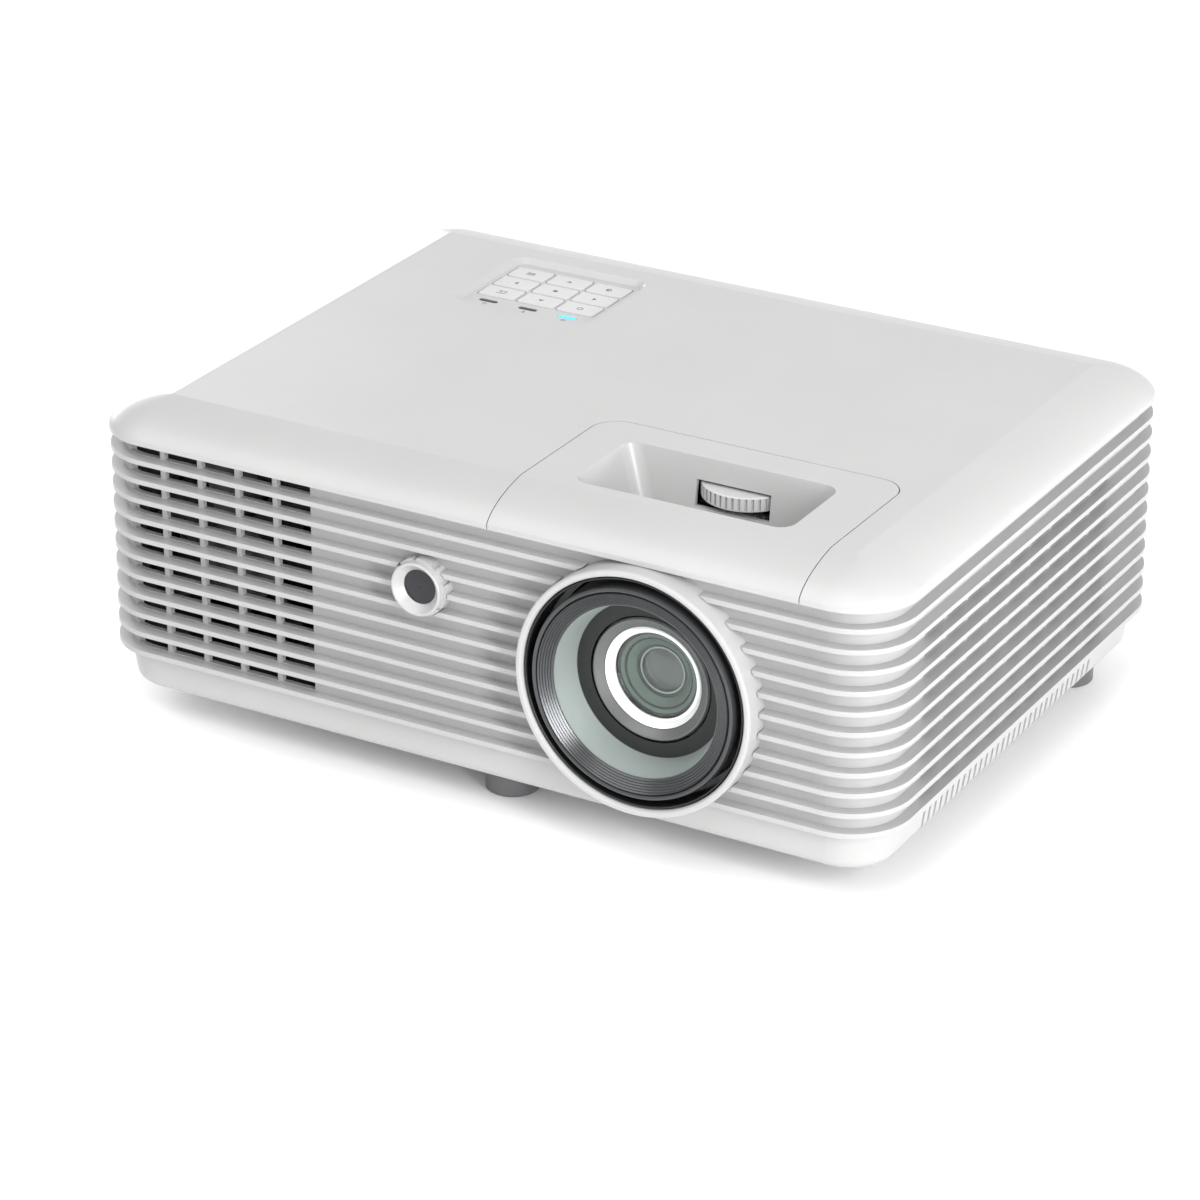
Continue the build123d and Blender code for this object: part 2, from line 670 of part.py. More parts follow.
def make_focus_group():
    with BuildPart() as focus_cell:
        turned([
            (cell_front_y + 0.7, cell_flange_radius), (cell_shoulder_y, cell_flange_radius),
            (cell_shoulder_y, cell_radius), (cell_back_y, cell_radius), (cell_back_y, cell_inner_radius),
            (seat_back_y + 3.0, cell_inner_radius), (seat_back_y + 3.0, 17.4), (seat_back_y, 17.4),
            (seat_back_y, seat_radius), (seat_front_y, seat_radius), (cell_front_y, 21.3),
            (cell_front_y, 21.8),
        ], lens_x, lens_z)
    keep(focus_cell.part, "focus_cell")
    with BuildPart() as front_lens_ring:
        turned([
            (seat_front_y, seat_radius - 0.1), (seat_back_y, seat_radius - 0.1), (seat_back_y, 15.6),
            (seat_back_y - 0.6, 15.6), (seat_back_y - 0.6, 16.6), (seat_back_y - 1.1, 16.9),
        ], lens_x, lens_z)
    keep(front_lens_ring.part, "front_lens_ring")
    with BuildPart() as focus_lenses:
        turned([(-101.0, 0.0), (-100.8, 3.0), (-100.3, 6.0), (-99.5, 9.0), (-98.5, 12.0), (-97.6, 14.2),
                (-98.0, 17.4), (-98.0, glass_radius), (-96.0, glass_radius), (-96.0, 13.2),
                (-97.2, 10.0), (-98.1, 5.0), (-98.4, 0.0)], lens_x, lens_z)
        turned([(-90.5, 0.0), (-90.1, 4.0), (-89.2, 7.6), (-89.2, glass_radius), (-86.0, glass_radius),
                (-86.0, 0.0)], lens_x, lens_z)
    keep(focus_lenses.part, "focus_lenses")


def make_zoom_group():
    with BuildPart() as zoom_cell:
        turned([
            (zoom_cell_front_y, cell_radius), (zoom_cell_back_y, cell_radius), (zoom_cell_back_y, 16.0),
            (zoom_cell_back_y - 2.0, 16.0), (zoom_cell_back_y - 2.0, cell_inner_radius),
            (zoom_cell_front_y, cell_inner_radius),
        ], lens_x, lens_z)
    keep(zoom_cell.part, "zoom_cell")
    with BuildPart() as zoom_lens:
        turned([(-64.0, 0.0), (-63.4, 6.0), (-61.6, 12.0), (-60.0, glass_radius),
                (-56.5, glass_radius), (-55.0, 12.0),
                (-53.6, 6.0), (-53.0, 0.0)], lens_x, lens_z)
    keep(zoom_lens.part, "zoom_lens")


def make_zoom_ring():
    root_y = dial_y + pinion_tip_radius + 0.35
    tip_y = root_y - tooth_height
    crown_radius = crown_teeth * tooth_pitch / (2 * pi)
    with BuildPart() as zoom_ring:
        turned([(root_y, 33.0), (root_y, crown_radius + 2.4), (root_y + 3.0, crown_radius + 2.4),
                (root_y + 3.0, 33.0), (-17.0, 33.0), (-17.0, barrel_radius + running_gap),
                (root_y - 1.0, barrel_radius + running_gap), (root_y - 1.0, 33.0)], lens_x, lens_z)
        with Locations(Location((lens_x, 0, lens_z))):
            for tooth in range(crown_teeth):
                angle = (tooth + 0.5) * 2 * pi / crown_teeth + pi / 2
                place = (crown_radius * cos(angle), (root_y + tip_y) / 2 + 0.05, crown_radius * sin(angle))
                with Locations(Location(place, (0, -degrees(angle), 0))):
                    Box(4.0, tooth_height + 0.1, tooth_width)
    keep(zoom_ring.part, "zoom_ring")


def make_zoom_dial():
    with BuildPart() as zoom_dial:
        pillar(lens_x, dial_y, dial_low_z, dial_high_z, dial_radius)
        fillet(zoom_dial.edges(), 0.6)
        with Locations((lens_x, dial_y, (dial_low_z + dial_high_z) / 2)):
            with PolarLocations(dial_radius + 0.1, dial_ribs):
                Box(2 * dial_rib_depth, 1.0, dial_high_z - dial_low_z - 1.0, mode=Mode.SUBTRACT)
        pillar(lens_x, dial_y, dial_low_z - 1, dial_high_z + 1, shaft_radius, Mode.SUBTRACT)
    keep(zoom_dial.part, "zoom_dial")
    with BuildPart() as zoom_pinion:
        pillar(lens_x, dial_y, pinion_low_z, pinion_high_z, pinion_tip_radius - tooth_height)
        with Locations((lens_x, dial_y, (pinion_low_z + pinion_high_z) / 2)):
            with PolarLocations(pinion_tip_radius - tooth_height / 2 - 0.1, pinion_teeth, start_angle=90):
                Box(tooth_height + 0.2, tooth_width, pinion_high_z - pinion_low_z)
        pillar(lens_x, dial_y, 96.6, 118.2, shaft_radius)
    keep(zoom_pinion.part, "zoom_pinion")


# ---------------------------------------------------------------- infrared receiver
def make_receiver():
    with BuildPart() as ir_bezel:
        turned([
            (ir_front_y + 0.3, ir_ring_radius), (wall_front_y, ir_ring_radius),
            (wall_front_y, ir_sleeve_radius), (-104.0, ir_sleeve_radius), (-104.0, ir_window_radius + 0.1),
            (-112.9, ir_window_radius + 0.1), (ir_front_y + 0.2, 8.7), (ir_front_y, 8.9),
            (ir_front_y, ir_ring_radius - 0.3),
        ], ir_x, ir_z)
        turned([(-113.3, ir_ring_radius - 0.5), (-113.3, ir_collar_radius), (wall_front_y, ir_collar_radius),
                (wall_front_y, ir_ring_radius - 0.5)], ir_x, ir_z)
        for angle in (20, 55, 100, 140, 190, 235, 280, 320):
            with Locations(Location((ir_x, -111.5, ir_z), (0, -angle, 0))):
                with Locations((ir_collar_radius, 0, 0)):
                    Box(1.5, 4.0, 1.6, mode=Mode.SUBTRACT)
    keep(ir_bezel.part, "ir_bezel")
    with BuildPart() as ir_window:
        turned([(-113.2, 0.0), (-113.1, 3.0), (-112.8, ir_window_radius), (-104.0, ir_window_radius),
                (-104.0, 7.8), (-102.8, 7.8), (-102.8, 0.0)], ir_x, ir_z)
    keep(ir_window.part, "ir_window")


# ---------------------------------------------------------------- keypad
def make_keypad():
    names = ["key_menu", "key_up", "key_mode", "key_left", "key_enter", "key_right",
             "key_source", "key_down", "key_power"]
    for name, place in zip(names, key_places()):
        with BuildPart() as key:
            with BuildSketch(Plane.XY.offset(key_flange_z - 1.0)):
                with Locations(place):
                    RectangleRounded(key_width, key_depth, 1.2)
            extrude(amount=key_top_z - key_flange_z + 1.0)
            fillet(key.faces().sort_by(Axis.Z)[-1].edges(), 0.35)
            block(place[0] - key_width / 2 - 0.5, place[0] + key_width / 2 + 0.5,
                  place[1] - key_depth / 2 - 0.5, place[1] + key_depth / 2 + 0.5,
                  key_flange_z - 1.0, key_flange_z)
            pillar(place[0], place[1], key_stem_z, key_flange_z - 0.9, 2.0)
        keep(key.part, name)
    with BuildPart() as status_lights:
        for step in (-1, 0):
            light_pipe(step)
    keep(status_lights.part, "status_lights")
    with BuildPart() as power_light:
        light_pipe(1)
    keep(power_light.part, "power_light")
    with BuildPart() as keypad_board:
        block(recess_mid_x - 29.5, recess_mid_x + 29.5, recess_mid_y - 26, recess_mid_y + 26,
              keypad_board_top_z - board_thickness, keypad_board_top_z)
        for place in key_places():
            pillar(place[0], place[1], keypad_board_top_z, keypad_board_top_z + 0.9, 2.6)
    keep(keypad_board.part, "keypad_board")


def light_pipe(step):
    with BuildSketch(Plane.XY.offset(keypad_board_top_z)) as plan:
        with Locations((keypad_x + step * key_pitch_x, indicator_y)):
            SlotOverall(indicator_length, indicator_width)
    extrude(plan.sketch, amount=recess_floor_z + 0.1 - keypad_board_top_z)


# ---------------------------------------------------------------- optics and light
def make_optics():
    with BuildPart() as engine_housing:
        block(engine_left_x, engine_right_x, barrel_back_y, engine_back_y, engine_low_z, engine_high_z)
        block(engine_left_x + engine_wall, engine_right_x - engine_wall, barrel_back_y + engine_wall,
              engine_back_y - engine_wall, engine_floor_z, engine_high_z - engine_wall, Mode.SUBTRACT)
        rod_y(lens_x, lens_z, barrel_back_y - 1, barrel_back_y + 4, 20.0, Mode.SUBTRACT)
        block(48.0, 84.0, engine_back_y - 4, engine_back_y + 1, 50.0, 82.0, Mode.SUBTRACT)
        block(engine_right_x - 4, engine_right_x + 1, 4.0, 28.0, 54.0, 78.0, Mode.SUBTRACT)
    keep(engine_housing.part, "engine_housing")
    with BuildPart() as imaging_board:
        block(34.0, 98.0, engine_back_y, engine_back_y + chip_board_thickness, 38.0, 96.0)
        block(54.0, 78.0, engine_back_y - 2.5, engine_back_y, 56.0, 76.0)
    keep(imaging_board.part, "imaging_board")
    with BuildPart() as imaging_heatsink:
        sink_y = engine_back_y + chip_board_thickness
        block(46.0, 86.0, sink_y, sink_y + 3.0, 46.0, 86.0)
        with Locations((66.0, 62.0, 66.0)):
            with GridLocations(4.8, 1, 9, 1):
                Box(1.2, 15.0, 40.0)
    keep(imaging_heatsink.part, "imaging_heatsink")
    with BuildPart() as light_tunnel:
        block(tunnel_x - 4, tunnel_x + 4, 22.0, 44.0, tunnel_z - 4, tunnel_z + 4)
        block(tunnel_x - 3, tunnel_x + 3, 21.0, 45.0, tunnel_z - 3, tunnel_z + 3, Mode.SUBTRACT)
        block(tunnel_x - 1.5, tunnel_x + 1.5, 22.0, 44.0, engine_floor_z, tunnel_z - 4)
    keep(light_tunnel.part, "light_tunnel")
    with BuildPart() as wheel_motor:
        rod_y(wheel_x, wheel_z, 2.0, 12.0, 9.0)
        rod_y(wheel_x, wheel_z, 12.0, 17.0, shaft_radius)
        block(wheel_x - 4, wheel_x + 4, 3.0, 11.0, engine_floor_z, wheel_z - 6)
    keep(wheel_motor.part, "wheel_motor")
    with BuildPart() as colour_wheel:
        rod_y(wheel_x, wheel_z, 13.0, 14.2, wheel_radius)
        rod_y(wheel_x, wheel_z, 12.4, 16.0, wheel_hub_radius)
        rod_y(wheel_x, wheel_z, 12.0, 16.5, shaft_radius + running_gap, Mode.SUBTRACT)
    keep(colour_wheel.part, "colour_wheel")
    with BuildPart() as light_source:
        block(light_left_x, light_right_x, -70.0, -36.0, light_low_z, light_high_z)
        rod_y(light_mid_x, (light_low_z + light_high_z) / 2, -36.0, -28.0, 12.0)
    keep(light_source.part, "light_source")
    with BuildPart() as light_heatsink:
        block(light_left_x, light_right_x, -28.0, -25.0, light_low_z, light_high_z)
        with Locations((light_mid_x, -14.0, (light_low_z + light_high_z) / 2)):
            with GridLocations(4.4, 1, 7, 1):
                Box(1.2, 22.2, light_high_z - light_low_z)
    keep(light_heatsink.part, "light_heatsink")


# ---------------------------------------------------------------- air
def make_fans():
    half = exhaust_size / 2
    mid_y = (exhaust_front_y + exhaust_back_y) / 2
    with BuildPart() as exhaust_fan_frame:
        block(exhaust_x - half, exhaust_x + half, exhaust_front_y, exhaust_back_y,
              exhaust_z - half, exhaust_z + half)
        rod_y(exhaust_x, exhaust_z, exhaust_front_y - 1, exhaust_back_y + 1, half - 2.0, Mode.SUBTRACT)
        rod_y(exhaust_x, exhaust_z, exhaust_back_y - 3, exhaust_back_y, 15.0)
        block(exhaust_x - half + 1, exhaust_x + half - 1, exhaust_back_y - 3, exhaust_back_y,
              exhaust_z - 1.5, exhaust_z + 1.5)
        block(exhaust_x - 1.5, exhaust_x + 1.5, exhaust_back_y - 3, exhaust_back_y,
              exhaust_z - half + 1, exhaust_z + half - 1)
        rod_y(exhaust_x, exhaust_z, exhaust_front_y + 6, exhaust_back_y - 2, 2.0)
    keep(exhaust_fan_frame.part, "exhaust_fan_frame")
    with BuildPart() as exhaust_impeller:
        rod_y(exhaust_x, exhaust_z, exhaust_front_y + 2, exhaust_back_y - 4, 15.0)
        for blade in range(7):
            angle = blade * 360 / 7
            with Locations(Location((exhaust_x, mid_y - 1, exhaust_z), (0, -angle, 0))):
                with Locations(Location((25.0, 0, 0), (38, 0, 0))):
                    Box(23.0, 1.4, 17.0)
        rod_y(exhaust_x, exhaust_z, exhaust_front_y + 5, exhaust_back_y - 3,
              2.0 + running_gap, Mode.SUBTRACT)
    keep(exhaust_impeller.part, "exhaust_impeller")
    half = intake_size / 2
    mid_x = (intake_in_x + intake_out_x) / 2
    with BuildPart() as intake_fan_frame:
        block(intake_in_x, intake_out_x, intake_y - half, intake_y + half, intake_z - half, intake_z + half)
        rod_x(intake_y, intake_z, intake_in_x - 1, intake_out_x + 1, half - 2.0, Mode.SUBTRACT)
        rod_x(intake_y, intake_z, intake_in_x, intake_in_x + 2.5, 13.0)
        block(intake_in_x, intake_in_x + 2.5, intake_y - half + 1, intake_y + half - 1,
              intake_z - 1.5, intake_z + 1.5)
        block(intake_in_x, intake_in_x + 2.5, intake_y - 1.5, intake_y + 1.5,
              intake_z - half + 1, intake_z + half - 1)
        rod_x(intake_y, intake_z, intake_in_x + 2, intake_out_x - 4, 2.0)
    keep(intake_fan_frame.part, "intake_fan_frame")
    with BuildPart() as intake_impeller:
        rod_x(intake_y, intake_z, intake_in_x + 3.2, intake_out_x - 1.5, 13.0)
        for blade in range(7):
            angle = blade * 360 / 7
            with Locations(Location((mid_x + 1, intake_y, intake_z), (angle, 0, 0))):
                with Locations(Location((0, 21.5, 0), (0, 38, 0))):
                    Box(1.3, 20.0, 12.0)
        rod_x(intake_y, intake_z, intake_in_x + 3, intake_out_x - 3, 2.0 + running_gap, Mode.SUBTRACT)
    keep(intake_impeller.part, "intake_impeller")


# ---------------------------------------------------------------- electronics
def make_boards():
    with BuildPart() as main_board:
        block(main_board_left_x, main_board_right_x, main_board_front_y, main_board_back_y,
              main_board_z, main_board_z + board_thickness)
        for x, y, width, depth, height in main_board_chips:
            block(x - width / 2, x + width / 2, y - depth / 2, y + depth / 2,
                  main_board_top_z, main_board_top_z + height)
    keep(main_board.part, "main_board")
    with BuildPart() as power_board:
        block(power_board_left_x, power_board_right_x, power_board_front_y, power_board_back_y,
              power_board_z, power_board_z + board_thickness)
    keep(power_board.part, "power_board")
    top = power_board_top_z
    with BuildPart() as transformers:
        block(-112.0, -80.0, -30.0, -2.0, top, top + 26)
        block(-66.0, -44.0, -30.0, -10.0, top, top + 18)
    keep(transformers.part, "transformers")
    with BuildPart() as capacitors:
        for x, y, radius, height in capacitor_places:
            pillar(x, y, top, top + height, radius)
    keep(capacitors.part, "capacitors")
    with BuildPart() as power_heatsink:
        block(-128.0, -125.0, -30.0, 20.0, top, top + 28)
        with Locations((-121.5, -5.0, top + 14)):
            with GridLocations(1, 8.0, 1, 6):
                Box(7.2, 1.4, 28.0)
    keep(power_heatsink.part, "power_heatsink")
    with BuildPart() as speaker:
        block(-52.0, -8.0, -100.0, -64.0, 32.0, 60.0)
        pillar(-30.0, -82.0, 59.0, 61.0, 15.0)
        pillar(-30.0, -82.0, 59.6, 62.0, 12.5, Mode.SUBTRACT)
    keep(speaker.part, "speaker")


# ---------------------------------------------------------------- rear sockets
def shell_socket(x, z, width, height, depth, wall, tongue_height, tongue_width, foot_z):
    """A metal socket shell open to the rear, with a tongue inside, standing on its board."""
    block(x - width / 2, x + width / 2, socket_face_y - depth, socket_face_y,
          z - height / 2, z + height / 2)
    block(x - width / 2 + wall, x + width / 2 - wall, socket_face_y - depth + 3, socket_face_y + 1,
          z - height / 2 + wall, z + height / 2 - wall, Mode.SUBTRACT)
    block(x - tongue_width / 2, x + tongue_width / 2, socket_face_y - depth + 2, socket_face_y - 2,
          z - tongue_height / 2, z + tongue_height / 2)
    block(x - width / 2, x + width / 2, socket_face_y - depth, inner_rear_y - 0.5,
          foot_z, z - height / 2 + 0.1)


def make_sockets():
    board_top = main_board_top_z
    with BuildPart() as hdmi_sockets:
        for x in hdmi_places:
            shell_socket(x, hdmi_z, 15.2, 5.9, 13.0, 0.5, 1.0, 11.0, board_top)
    keep(hdmi_sockets.part, "hdmi_sockets")
    with BuildPart() as usb_socket:
        shell_socket(usb_x, usb_z, 14.2, 7.0, 15.0, 0.6, 1.6, 11.0, board_top)
    keep(usb_socket.part, "usb_socket")
    with BuildPart() as dsub_sockets:
        for x, rows in ((vga_x, 3), (serial_x, 2)):
            block(x - dsub_flange_half_x, x + dsub_flange_half_x, inner_rear_y - 2, inner_rear_y - 0.6,
                  dsub_z - dsub_flange_half_z, dsub_z + dsub_flange_half_z)
            block(x - dsub_nose_half_x, x + dsub_nose_half_x, inner_rear_y - 1, socket_face_y + 3.4,
                  dsub_z - dsub_nose_half_z, dsub_z + dsub_nose_half_z)
            block(x - 13.0, x + 13.0, inner_rear_y - 12, inner_rear_y - 2,
                  board_top, dsub_z + dsub_nose_half_z)
            for side in (-1, 1):
                rod_y(x + side * dsub_screw_half_x, dsub_z, inner_rear_y - 0.8, socket_face_y + 3.0, 2.6)
            for row in range(rows):
                pin_z = dsub_z + (row - (rows - 1) / 2) * pin_row_pitch
                stagger = (row % 2 - 0.5) * pin_pitch / 2
                for column in range(pin_columns):
                    pin_x = x + (column - (pin_columns - 1) / 2) * pin_pitch + stagger
                    rod_y(pin_x, pin_z, socket_face_y + 1, socket_face_y + 4, 0.5, Mode.SUBTRACT)
        block(serial_x - 14.0, serial_x + 14.0, inner_rear_y - 16, inner_rear_y - 2,
              board_top - board_thickness, board_top)
        for post in (-12.0, 12.0):
            pillar(serial_x + post, inner_rear_y - 9, base_floor_top_z, board_top - board_thickness, 2.0)
    keep(dsub_sockets.part, "dsub_sockets")
    with BuildPart() as audio_jacks:
        for x in audio_places:
            block(x - 5.0, x + 5.0, socket_face_y - 15, inner_rear_y - 0.4, board_top, jack_z + 5)
            rod_y(x, jack_z, inner_rear_y - 1, socket_face_y + 1.2, jack_barrel_radius)
            rod_y(x, jack_z, socket_face_y - 12, socket_face_y + 2, jack_bore_radius, Mode.SUBTRACT)
    keep(audio_jacks.part, "audio_jacks")
    with BuildPart() as power_inlet:
        block(inlet_x - inlet_half_x, inlet_x + inlet_half_x, socket_face_y - 24, socket_face_y + 0.6,
              inlet_z - inlet_half_z, inlet_z + inlet_half_z)
        block(inlet_x - inlet_mouth_half_x, inlet_x + inlet_mouth_half_x, socket_face_y - 18,
              socket_face_y + 1, inlet_z - inlet_mouth_half_z, inlet_z + inlet_mouth_half_z, Mode.SUBTRACT)
        for dx, dz in ((-7.0, 2.0), (0.0, -2.0), (7.0, 2.0)):
            block(inlet_x + dx - 1.0, inlet_x + dx + 1.0, socket_face_y - 19, socket_face_y - 3,
                  inlet_z + dz - 2.0, inlet_z + dz + 2.0)
    keep(power_inlet.part, "power_inlet")


make_top_cover()
make_lens_access_panel()
make_grille()
make_rear_panel()
make_base()
for foot_name, foot_place in foot_places.items():
    make_foot(foot_name, foot_place[0], foot_place[1])
make_screws()
make_lens_bezel()
make_focus_ring()
make_lens_barrel()
make_focus_group()
make_zoom_group()
make_zoom_ring()
make_zoom_dial()
make_receiver()
make_keypad()
make_optics()
make_fans()
make_boards()
make_sockets()
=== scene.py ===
import json
import math

import bmesh
import bpy
from mathutils import Matrix, Vector

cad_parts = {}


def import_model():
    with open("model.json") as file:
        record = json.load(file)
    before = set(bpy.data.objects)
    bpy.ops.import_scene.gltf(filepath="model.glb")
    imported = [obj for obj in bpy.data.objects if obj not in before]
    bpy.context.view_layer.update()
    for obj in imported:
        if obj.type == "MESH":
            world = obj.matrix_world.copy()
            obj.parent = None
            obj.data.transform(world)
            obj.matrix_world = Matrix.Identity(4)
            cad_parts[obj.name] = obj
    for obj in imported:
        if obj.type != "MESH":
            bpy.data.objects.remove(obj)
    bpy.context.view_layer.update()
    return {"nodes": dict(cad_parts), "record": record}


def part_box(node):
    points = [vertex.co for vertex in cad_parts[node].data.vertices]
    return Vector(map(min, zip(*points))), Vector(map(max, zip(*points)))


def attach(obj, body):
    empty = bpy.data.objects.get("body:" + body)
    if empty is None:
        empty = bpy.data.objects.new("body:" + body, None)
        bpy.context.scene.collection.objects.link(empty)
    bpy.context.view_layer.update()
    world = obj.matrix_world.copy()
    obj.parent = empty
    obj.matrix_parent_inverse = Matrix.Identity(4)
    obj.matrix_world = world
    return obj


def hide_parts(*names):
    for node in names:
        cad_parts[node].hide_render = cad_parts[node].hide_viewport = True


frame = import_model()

NODES = frame["nodes"]
MM = 0.001

# Places worked out from the frame, in metres.
bezel_low, bezel_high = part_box("lens_bezel")
LENS_X = (bezel_low.x + bezel_high.x) / 2
LENS_Z = (bezel_low.z + bezel_high.z) / 2
BEZEL_FRONT = bezel_low.y
RING_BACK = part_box("front_lens_ring")[1].y


# ------------------------------------------------------------------ material nodes
def new_material(name):
    mat = bpy.data.materials.new(name)
    mat.use_nodes = True
    tree = mat.node_tree
    tree.nodes.clear()
    out = tree.nodes.new("ShaderNodeOutputMaterial")
    shader = tree.nodes.new("ShaderNodeBsdfPrincipled")
    tree.links.new(shader.outputs["BSDF"], out.inputs["Surface"])
    return mat, tree, shader


def coords(tree):
    return tree.nodes.new("ShaderNodeTexCoord").outputs["Object"]


def noise(tree, scale, detail=3.0, rough=0.5, vector=None):
    node = tree.nodes.new("ShaderNodeTexNoise")
    node.inputs["Scale"].default_value = scale
    node.inputs["Detail"].default_value = detail
    node.inputs["Roughness"].default_value = rough
    tree.links.new(vector if vector is not None else coords(tree), node.inputs["Vector"])
    return node.outputs["Fac"]


def ramp(tree, fac, stops):
    node = tree.nodes.new("ShaderNodeValToRGB")
    elements = node.color_ramp.elements
    while len(elements) < len(stops):
        elements.new(0.5)
    for element, (place, colour) in zip(elements, stops):
        element.position = place
        element.color = (*colour, 1.0)
    tree.links.new(fac, node.inputs["Fac"])
    return node.outputs["Color"]


def spread(tree, fac, low, high):
    node = tree.nodes.new("ShaderNodeMapRange")
    node.inputs["To Min"].default_value = low
    node.inputs["To Max"].default_value = high
    tree.links.new(fac, node.inputs["Value"])
    return node.outputs["Result"]


def maths(tree, operation, first, second):
    node = tree.nodes.new("ShaderNodeMath")
    node.operation = operation
    for socket, value in zip(node.inputs, (first, second)):
        if isinstance(value, float):
            socket.default_value = value
        else:
            tree.links.new(value, socket)
    return node.outputs[0]


def bump(tree, shader, height, strength, distance):
    node = tree.nodes.new("ShaderNodeBump")
    node.inputs["Strength"].default_value = strength
    node.inputs["Distance"].default_value = distance
    tree.links.new(height, node.inputs["Height"])
    tree.links.new(node.outputs["Normal"], shader.inputs["Normal"])


def lens_radius(tree, where):
    """Distance from the lens axis, in millimetres."""
    split = tree.nodes.new("ShaderNodeSeparateXYZ")
    tree.links.new(where, split.inputs["Vector"])
    across = maths(tree, "SUBTRACT", split.outputs["X"], LENS_X)
    up = maths(tree, "SUBTRACT", split.outputs["Z"], LENS_Z)
    square = maths(tree, "ADD", maths(tree, "POWER", across, 2.0), maths(tree, "POWER", up, 2.0))
    return maths(tree, "DIVIDE", maths(tree, "SQRT", square, 0.0), MM)


def tint(colour, amount):
    return tuple(min(1.0, c * amount) for c in colour)


# ------------------------------------------------------------------ finishes
def moulded(name, colour, rough, grain=2600.0, depth=0.03, strength=0.35, coat=0.0, spec=0.5, vary=0.02):
    """Moulded plastic: spark-eroded grain, with faint cloudy changes of tone and gloss."""
    mat, tree, shader = new_material(name)
    where = coords(tree)
    clouds = noise(tree, 18.0, 4.0, 0.55, where)
    tree.links.new(ramp(tree, clouds, [(0.3, tint(colour, 1 - vary)), (0.7, tint(colour, 1 + vary))]),
                   shader.inputs["Base Color"])
    tree.links.new(spread(tree, noise(tree, 60.0, 3.0, 0.5, where), rough - 0.04, rough + 0.05),
                   shader.inputs["Roughness"])
    shader.inputs["Specular IOR Level"].default_value = spec
    if coat:
        shader.inputs["Coat Weight"].default_value = coat
        shader.inputs["Coat Roughness"].default_value = 0.2
    bump(tree, shader, noise(tree, grain, 2.0, 0.6, where), strength, depth * MM)
    return mat


def metal(name, colour, rough, grain=(300.0, 300.0, 300.0), strength=0.2, metallic=1.0):
    """Metal with fine machining or drawing lines along one direction."""
    mat, tree, shader = new_material(name)
    shader.inputs["Metallic"].default_value = metallic
    mapping = tree.nodes.new("ShaderNodeMapping")
    mapping.inputs["Scale"].default_value = grain
    tree.links.new(coords(tree), mapping.inputs["Vector"])
    lines = noise(tree, 6.0, 4.0, 0.6, mapping.outputs["Vector"])
    tree.links.new(ramp(tree, lines, [(0.25, tint(colour, 0.93)), (0.75, tint(colour, 1.05))]),
                   shader.inputs["Base Color"])
    tree.links.new(spread(tree, lines, rough - 0.06, rough + 0.08), shader.inputs["Roughness"])
    bump(tree, shader, lines, strength, 0.02 * MM)
    return mat


def board(name, colour):
    """Solder mask with faint copper runs beneath it."""
    mat, tree, shader = new_material(name)
    where = coords(tree)
    brick = tree.nodes.new("ShaderNodeTexBrick")
    brick.inputs["Scale"].default_value = 160.0
    brick.inputs["Mortar Size"].default_value = 0.06
    brick.inputs["Color1"].default_value = (*colour, 1.0)
    brick.inputs["Color2"].default_value = (*tint(colour, 1.15), 1.0)
    brick.inputs["Mortar"].default_value = (*tint(colour, 1.7), 1.0)
    tree.links.new(where, brick.inputs["Vector"])
    tree.links.new(brick.outputs["Color"], shader.inputs["Base Color"])
    tree.links.new(spread(tree, noise(tree, 90.0, 2.0, 0.5, where), 0.3, 0.45), shader.inputs["Roughness"])
    bump(tree, shader, brick.outputs["Fac"], 0.3, 0.03 * MM)
    return mat


def glass(name, colour, rough=0.0, ior=1.5, transmission=1.0):
    """Clear or tinted glass, with very faint cloudiness in its tint."""
    mat, tree, shader = new_material(name)
    tree.links.new(ramp(tree, noise(tree, 30.0, 2.0), [(0.3, tint(colour, 0.97)), (0.7, colour)]),
                   shader.inputs["Base Color"])
    shader.inputs["Roughness"].default_value = rough
    shader.inputs["IOR"].default_value = ior
    shader.inputs["Transmission Weight"].default_value = transmission
    return mat


def banded(name, bands, grain=2200.0, strength=0.15):
    """A turned part finished in rings: each band is (outer radius in mm, colour, metallic, roughness)."""
    mat, tree, shader = new_material(name)
    where = coords(tree)
    low = bands[0][0] - 12.0
    high = bands[-1][0]
    share = tree.nodes.new("ShaderNodeMapRange")
    share.inputs["From Min"].default_value = low
    share.inputs["From Max"].default_value = high
    tree.links.new(lens_radius(tree, where), share.inputs["Value"])
    colours, metals, roughs = [], [], []
    start = 0.0
    for outer, colour, metallic, rough in bands:
        end = (outer - low) / (high - low) - 0.004
        for place in (start, end):
            colours.append((place, colour))
            metals.append((place, (metallic,) * 3))
            roughs.append((place, (rough,) * 3))
        start = end + 0.008
    tree.links.new(ramp(tree, share.outputs["Result"], colours), shader.inputs["Base Color"])
    tree.links.new(ramp(tree, share.outputs["Result"], metals), shader.inputs["Metallic"])
    tree.links.new(ramp(tree, share.outputs["Result"], roughs), shader.inputs["Roughness"])
    bump(tree, shader, noise(tree, grain, 2.0, 0.5, where), strength, 0.012 * MM)
    return mat


def lit(name, colour, strength):
    """A light pipe glowing from within."""
    mat, tree, shader = new_material(name)
    fac = noise(tree, 250.0, 2.0)
    body = ramp(tree, fac, [(0.3, tint(colour, 0.9)), (0.7, colour)])
    glow = ramp(tree, fac, [(0.2, tint(colour, 0.8)), (0.8, colour)])
    tree.links.new(body, shader.inputs["Base Color"])
    tree.links.new(glow, shader.inputs["Emission Color"])
    shader.inputs["Emission Strength"].default_value = strength
    shader.inputs["Roughness"].default_value = 0.2
    return mat


